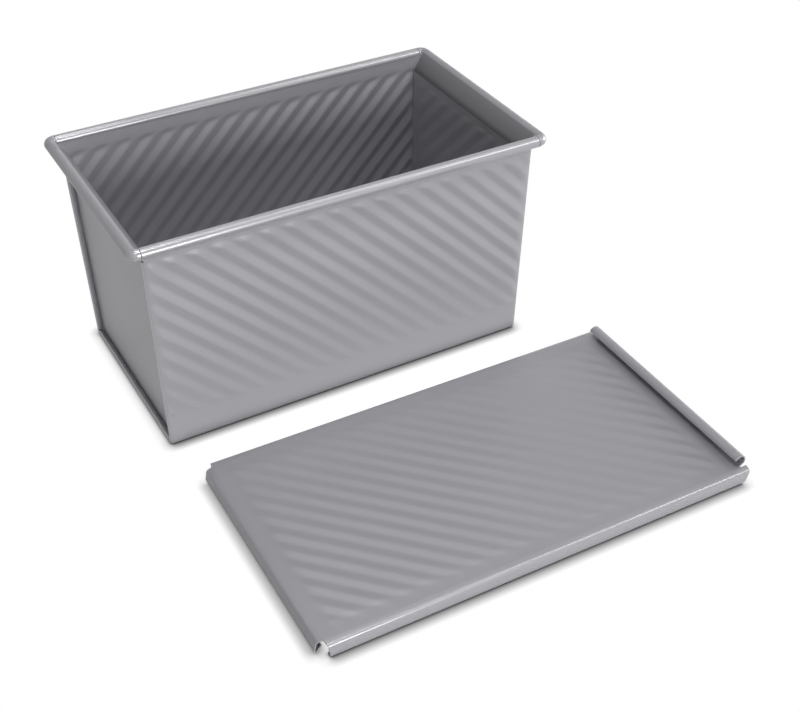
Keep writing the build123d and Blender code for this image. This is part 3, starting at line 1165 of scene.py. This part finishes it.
@dataclass
class RimWire:
    """Closed loop of round wire inside the beads."""

    sizes: PanSizes
    sides: int = 20
    corner_spans: int = 8

    def build(self, finish: bpy.types.Material) -> bpy.types.Object:
        """Makes the wire.

        Args:
            finish: The wire's material.

        Returns:
            The object.
        """
        s = self.sizes
        path = []
        for start, x, y in ((0.0, 1, 1), (90.0, -1, 1), (180.0, -1, -1), (270.0, 1, -1)):
            centre = (x * (s.rim_x - s.rim_corner), y * (s.rim_y - s.rim_corner))
            path.extend(arc(centre, s.rim_corner, start, start + 90.0, self.corner_spans))
        path = np.array(path)
        ahead = np.roll(path, -1, axis=0) - path
        behind = path - np.roll(path, 1, axis=0)
        along = ahead / np.linalg.norm(ahead, axis=1, keepdims=True)
        along += behind / np.linalg.norm(behind, axis=1, keepdims=True)
        along /= np.linalg.norm(along, axis=1, keepdims=True)
        turn = np.arange(self.sides) * math.tau / self.sides
        wide, high = s.wire / 2 * np.cos(turn), s.wire / 2 * np.sin(turn)
        ring = stacked(path[:, :1] + wide * along[:, 1:], path[:, 1:] - wide * along[:, :1],
                       s.rim_height + high)
        ids = np.arange(len(path) * self.sides).reshape(len(path), self.sides)
        onward = np.roll(ids, -1, axis=0)
        faces = np.stack([ids, onward, np.roll(onward, -1, axis=1), np.roll(ids, -1, axis=1)], axis=-1)
        mesh = bpy.data.meshes.new("rim_wire_loop")
        mesh.from_pydata((ring.reshape(-1, 3) * MM).tolist(), [], faces.reshape(-1, 4).tolist())
        mesh.materials.append(finish)
        mesh.shade_smooth()
        return linked("rim_wire_loop", mesh)


@dataclass(frozen=True)
class Camera:
    """Camera of the photograph, fitted to the pan's edges."""

    azimuth: float = -29.310
    elevation: float = 37.391
    roll: float = -0.119
    distance: float = 741.21
    target: tuple = (56.678, 0.0, -38.729)
    focal_pixels: float = 1318.643
    image_width: float = 800.0
    sensor: float = 36.0
    clip_start: float = 0.01

    def build(self) -> bpy.types.Object:
        """Makes the camera and looks through it.

        Returns:
            The camera.
        """
        az, el = math.radians(self.azimuth), math.radians(self.elevation)
        back = Vector((math.sin(az) * math.cos(el), -math.cos(az) * math.cos(el), math.sin(el)))
        right = Vector((math.cos(az), math.sin(az), 0.0))
        up = back.cross(right)
        turn = Matrix((right, up, back)).transposed() @ Matrix.Rotation(math.radians(self.roll), 3, "Z")
        data = bpy.data.cameras.new("camera")
        data.sensor_width = self.sensor
        data.lens = self.focal_pixels * self.sensor / self.image_width
        data.clip_start = self.clip_start
        camera = linked("camera", data)
        place = (Vector(self.target) + back * self.distance) * MM
        camera.matrix_world = Matrix.Translation(place) @ turn.to_4x4()
        bpy.context.scene.camera = camera
        return camera


@dataclass(frozen=True)
class SoftBox:
    """A square lamp at a place, turned to its aim."""

    name: str
    place: tuple
    size: float
    watts: float
    aim: tuple = (0.0, -0.08, 0.05)

    def build(self) -> bpy.types.Object:
        """Makes the lamp.

        Returns:
            The lamp.
        """
        data = bpy.data.lights.new(self.name, "AREA")
        data.shape = "SQUARE"
        data.size = self.size
        data.energy = self.watts
        lamp = linked(self.name, data)
        lamp.location = self.place
        lamp.rotation_euler = (lamp.location - Vector(self.aim)).to_track_quat("Z", "Y").to_euler()
        lamp.visible_camera = False
        return lamp


@dataclass(frozen=True)
class Studio:
    """Pale floor, soft lamps and an even sky."""

    sky: float = 0.0
    sky_colour: tuple = (1.0, 1.0, 1.0, 1.0)
    floor_reach: float = 6.0
    floor_colour: tuple = (0.9, 0.9, 0.9, 1.0)
    shadow_reach: float = 0.0055
    shadow_depth: float = 2.0
    shadow_samples: int = 16
    lamps: tuple = (
        SoftBox("front_box", (0.0, -1.646, 0.26), 0.7, 16.6),
        SoftBox("right_low_box", (1.61, -0.06, 0.19), 0.7, 20.2),
        SoftBox("right_top_box", (0.61, -0.40, 1.50), 0.35, 1.2),
        SoftBox("front_right_box", (0.89, -0.93, 1.08), 0.35, 2.25),
        SoftBox("top_box", (0.02, 0.22, 1.63), 0.45, 4.0),
        SoftBox("near_top_box", (-0.05, -0.20, 0.60), 0.1, 0.74),
        SoftBox("near_left_box", (-0.22, -0.20, 0.42), 0.1, 0.15),
    )

    def build(self) -> None:
        """Makes the floor, the lamps and the sky, and sets the plain view transform."""
        bpy.context.scene.view_settings.view_transform = "Standard"
        for lamp in self.lamps:
            lamp.build()
        self.build_sky()
        self.build_floor()

    def seen_directly(self, canvas: NodeCanvas) -> bpy.types.NodeSocket:
        """Tells the rays that show a surface to the eye from those that only light others.

        Args:
            canvas: The tree to add the nodes to.

        Returns:
            One for camera, glossy and transmission rays, and nought for the rest.
        """
        path = canvas.node("ShaderNodeLightPath").outputs
        either = canvas.math("MAXIMUM", path["Is Camera Ray"], path["Is Glossy Ray"])
        return canvas.math("MAXIMUM", either, path["Is Transmission Ray"])

    def build_sky(self) -> None:
        """Makes the even sky, white where it is seen."""
        world = bpy.data.worlds.new("sky")
        bpy.context.scene.world = world
        world.use_nodes = True
        canvas = NodeCanvas(world.node_tree)
        strength = canvas.span(self.seen_directly(canvas), self.sky, 1.0)
        background = world.node_tree.nodes["Background"]
        canvas.feed(background, {"Color": self.sky_colour, "Strength": strength})

    def floor_material(self) -> bpy.types.Material:
        """Pale floor that is seen as white, with a painted contact shadow, from ambient occlusion, where
        something stands on it.

        Returns:
            The material.
        """
        material, canvas, shader = blank_material("pale_floor")
        nodes = material.node_tree.nodes
        nodes.remove(shader)
        pale = canvas.node("ShaderNodeBsdfDiffuse", {"Color": self.floor_colour})
        open_share = canvas.node("ShaderNodeAmbientOcclusion", {"Distance": self.shadow_reach},
                                 samples=self.shadow_samples)
        # The glow seen by the camera is darkened by ambient occlusion: a painted contact shadow.
        glow_with_painted_shadow = canvas.math("POWER", open_share.outputs["AO"], self.shadow_depth)
        white = canvas.node("ShaderNodeEmission", {"Strength": glow_with_painted_shadow})
        mixed = canvas.node("ShaderNodeMixShader", {0: self.seen_directly(canvas), 1: pale.outputs[0],
                                                    2: white.outputs[0]})
        canvas.feed(nodes["Material Output"], {"Surface": mixed.outputs[0]})
        return material

    def build_floor(self) -> None:
        """Makes the floor."""
        corners = [(x * self.floor_reach, y * self.floor_reach, 0.0)
                   for x, y in ((-1, -1), (1, -1), (1, 1), (-1, 1))]
        mesh = bpy.data.meshes.new("floor")
        mesh.from_pydata(corners, [], [(0, 1, 2, 3)])
        mesh.materials.append(self.floor_material())
        floor = linked("floor", mesh)


def main() -> None:
    """Builds the pan, the lid and the studio."""
    logging.basicConfig(level=logging.INFO, format="%(name)s: %(message)s")
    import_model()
    sizes = PanSizes()
    coat = CoatedSheet().build()
    wire = DrawnWire().build()
    pieces = (
        (PanBody(sizes).build(coat), "pan", "coated_sheet", "pan_body"),
        (EndPanel(sizes, -1, "left_end_panel_sheet").build(coat), "pan", "coated_sheet", "left_end_panel"),
        (EndPanel(sizes, 1, "right_end_panel_sheet").build(coat), "pan", "coated_sheet", "right_end_panel"),
        (RimWire(sizes).build(wire), "pan", "wire", "rim_wire"),
        (SlideLid(sizes).build(coat), "lid", "coated_sheet", "slide_lid"),
    )
    for piece, body, slot, node in pieces:
        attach(piece, body)
        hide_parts(node)
        LOG.info("%s: %d faces, rides on %s", piece.name, len(piece.data.polygons), body)
    Studio().build()
    Camera().build()
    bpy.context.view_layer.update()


if __name__ == "__main__":
    main()
